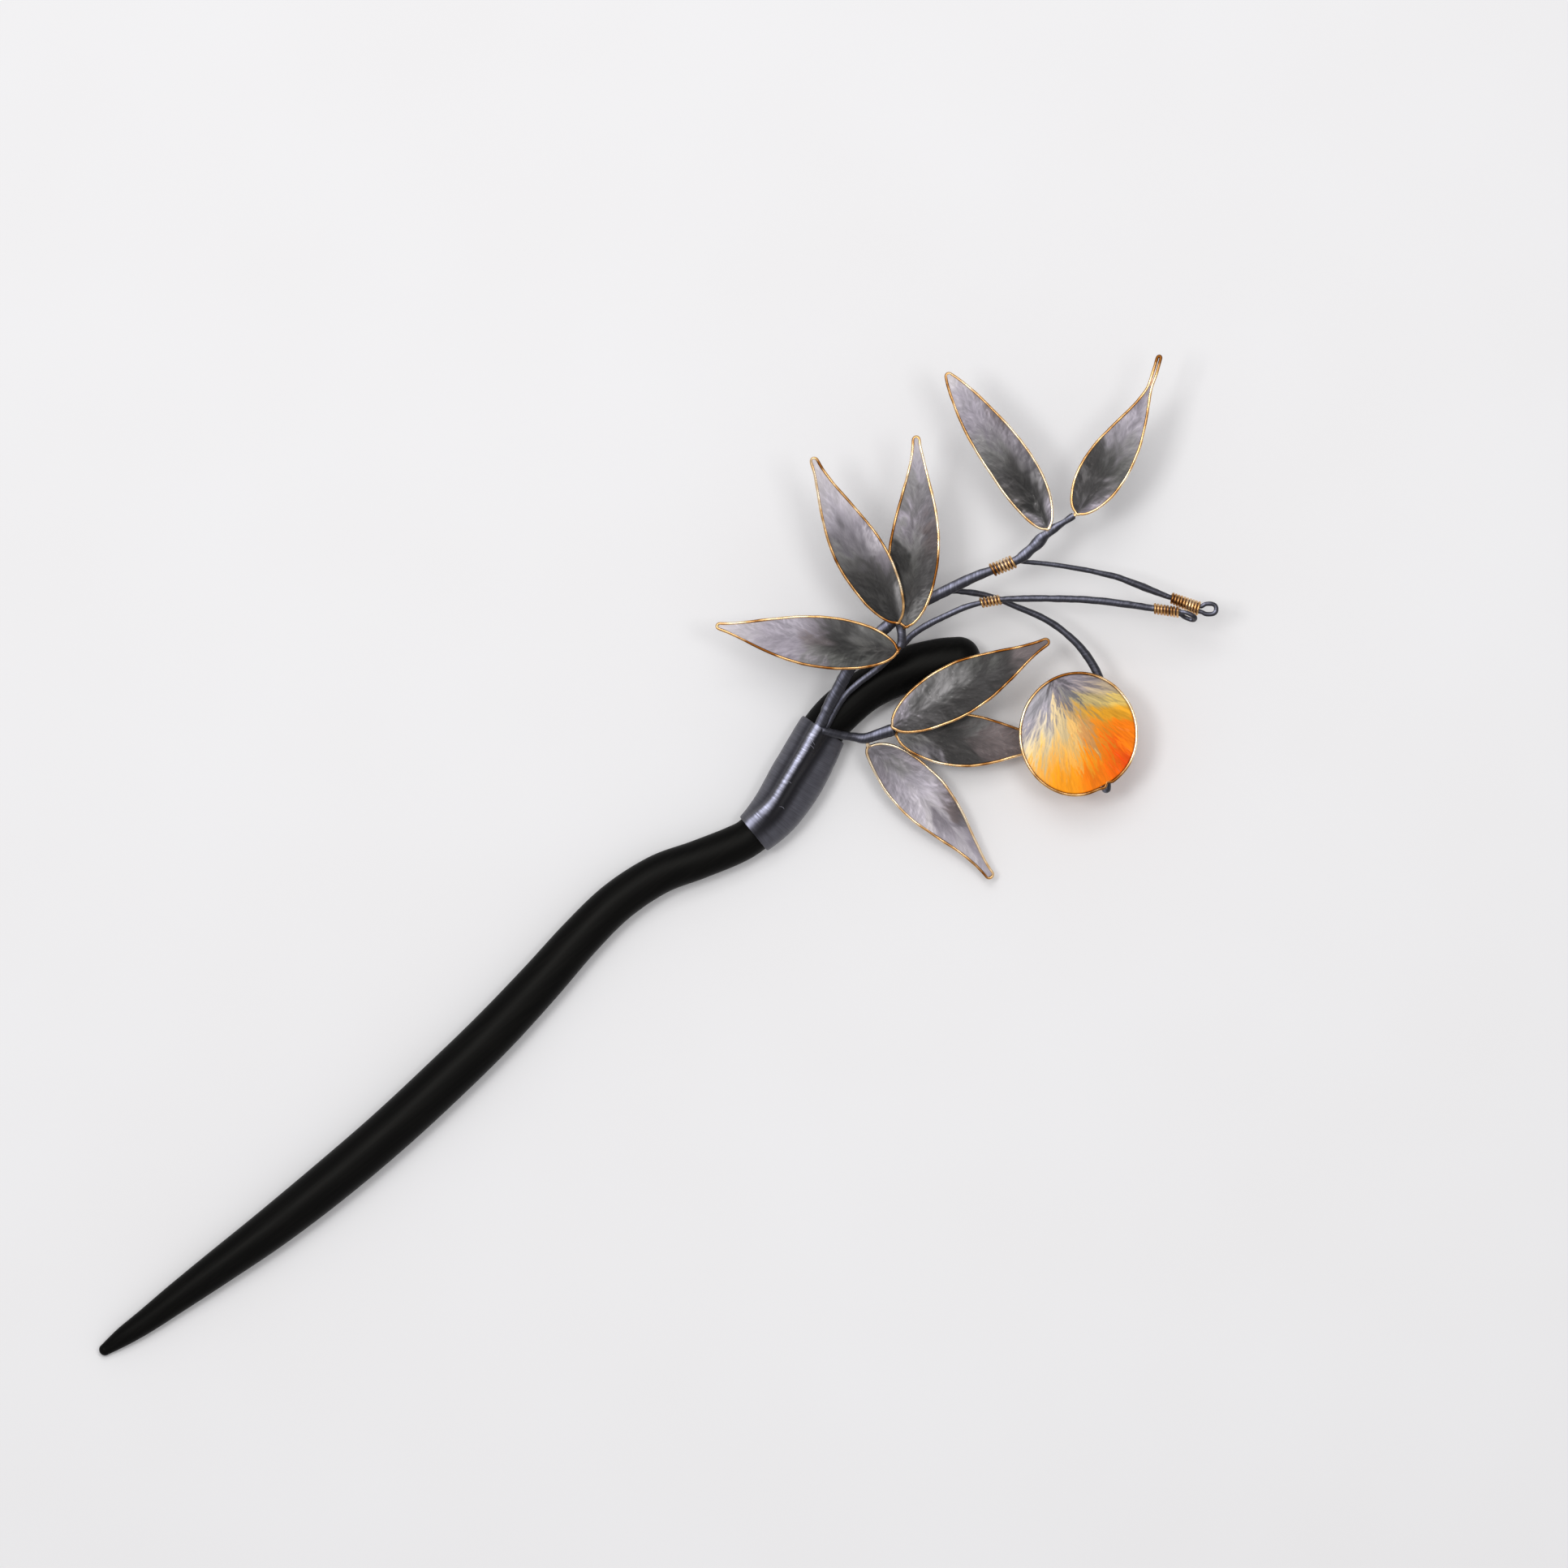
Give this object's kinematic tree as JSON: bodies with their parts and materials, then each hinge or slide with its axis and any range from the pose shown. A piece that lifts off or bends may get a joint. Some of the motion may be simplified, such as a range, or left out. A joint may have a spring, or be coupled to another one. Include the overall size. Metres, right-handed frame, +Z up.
{
  "type": "hairpin",
  "caption": "Curved dark wood hair stick whose head carries a spray of grey silk leaves and a round orange silk fruit, each edged in gold wire on thread-wound stems.",
  "frame": {"origin": "middle of the whole piece's box, on the surface it lies on", "axes": "+X from the stick's tip to its head, +Y to the side where the upper leaves point, +Z up from the surface"},
  "size_m": [0.2324, 0.0718, 0.0169],
  "materials": {
    "wood": "polished dark wood, satin",
    "wrap_thread": "fine wound silk thread",
    "stem_thread": "fine wound silk thread, soft sheen",
    "gilt_wire": "bright gold-coloured wire",
    "leaf_silk": "brushed silk floss, grey to mauve",
    "fruit_silk": "brushed silk floss, yellow to orange"
  },
  "bodies": {
    "root": {"hair_stick": "wood", "thread_wrap": "wrap_thread", "main_stem": "stem_thread", "upper_stem": "stem_thread", "lower_stem": "stem_thread", "fruit_stem": "stem_thread", "side_stem": "stem_thread", "node_twig": "stem_thread", "main_coil": "gilt_wire", "lower_coil": "gilt_wire", "upper_eye_coil": "gilt_wire", "lower_eye_coil": "gilt_wire", "leaf_rim_1": "gilt_wire", "leaf_rim_2": "gilt_wire", "leaf_rim_3": "gilt_wire", "leaf_rim_4": "gilt_wire", "leaf_rim_5": "gilt_wire", "leaf_rim_6": "gilt_wire", "leaf_rim_7": "gilt_wire", "leaf_rim_8": "gilt_wire", "leaf_silk_1": "leaf_silk", "leaf_silk_2": "leaf_silk", "leaf_silk_3": "leaf_silk", "leaf_silk_4": "leaf_silk", "leaf_silk_5": "leaf_silk", "leaf_silk_6": "leaf_silk", "leaf_silk_7": "leaf_silk", "leaf_silk_8": "leaf_silk", "fruit_rim": "gilt_wire", "fruit_silk": "fruit_silk"}
  },
  "joints": []
}
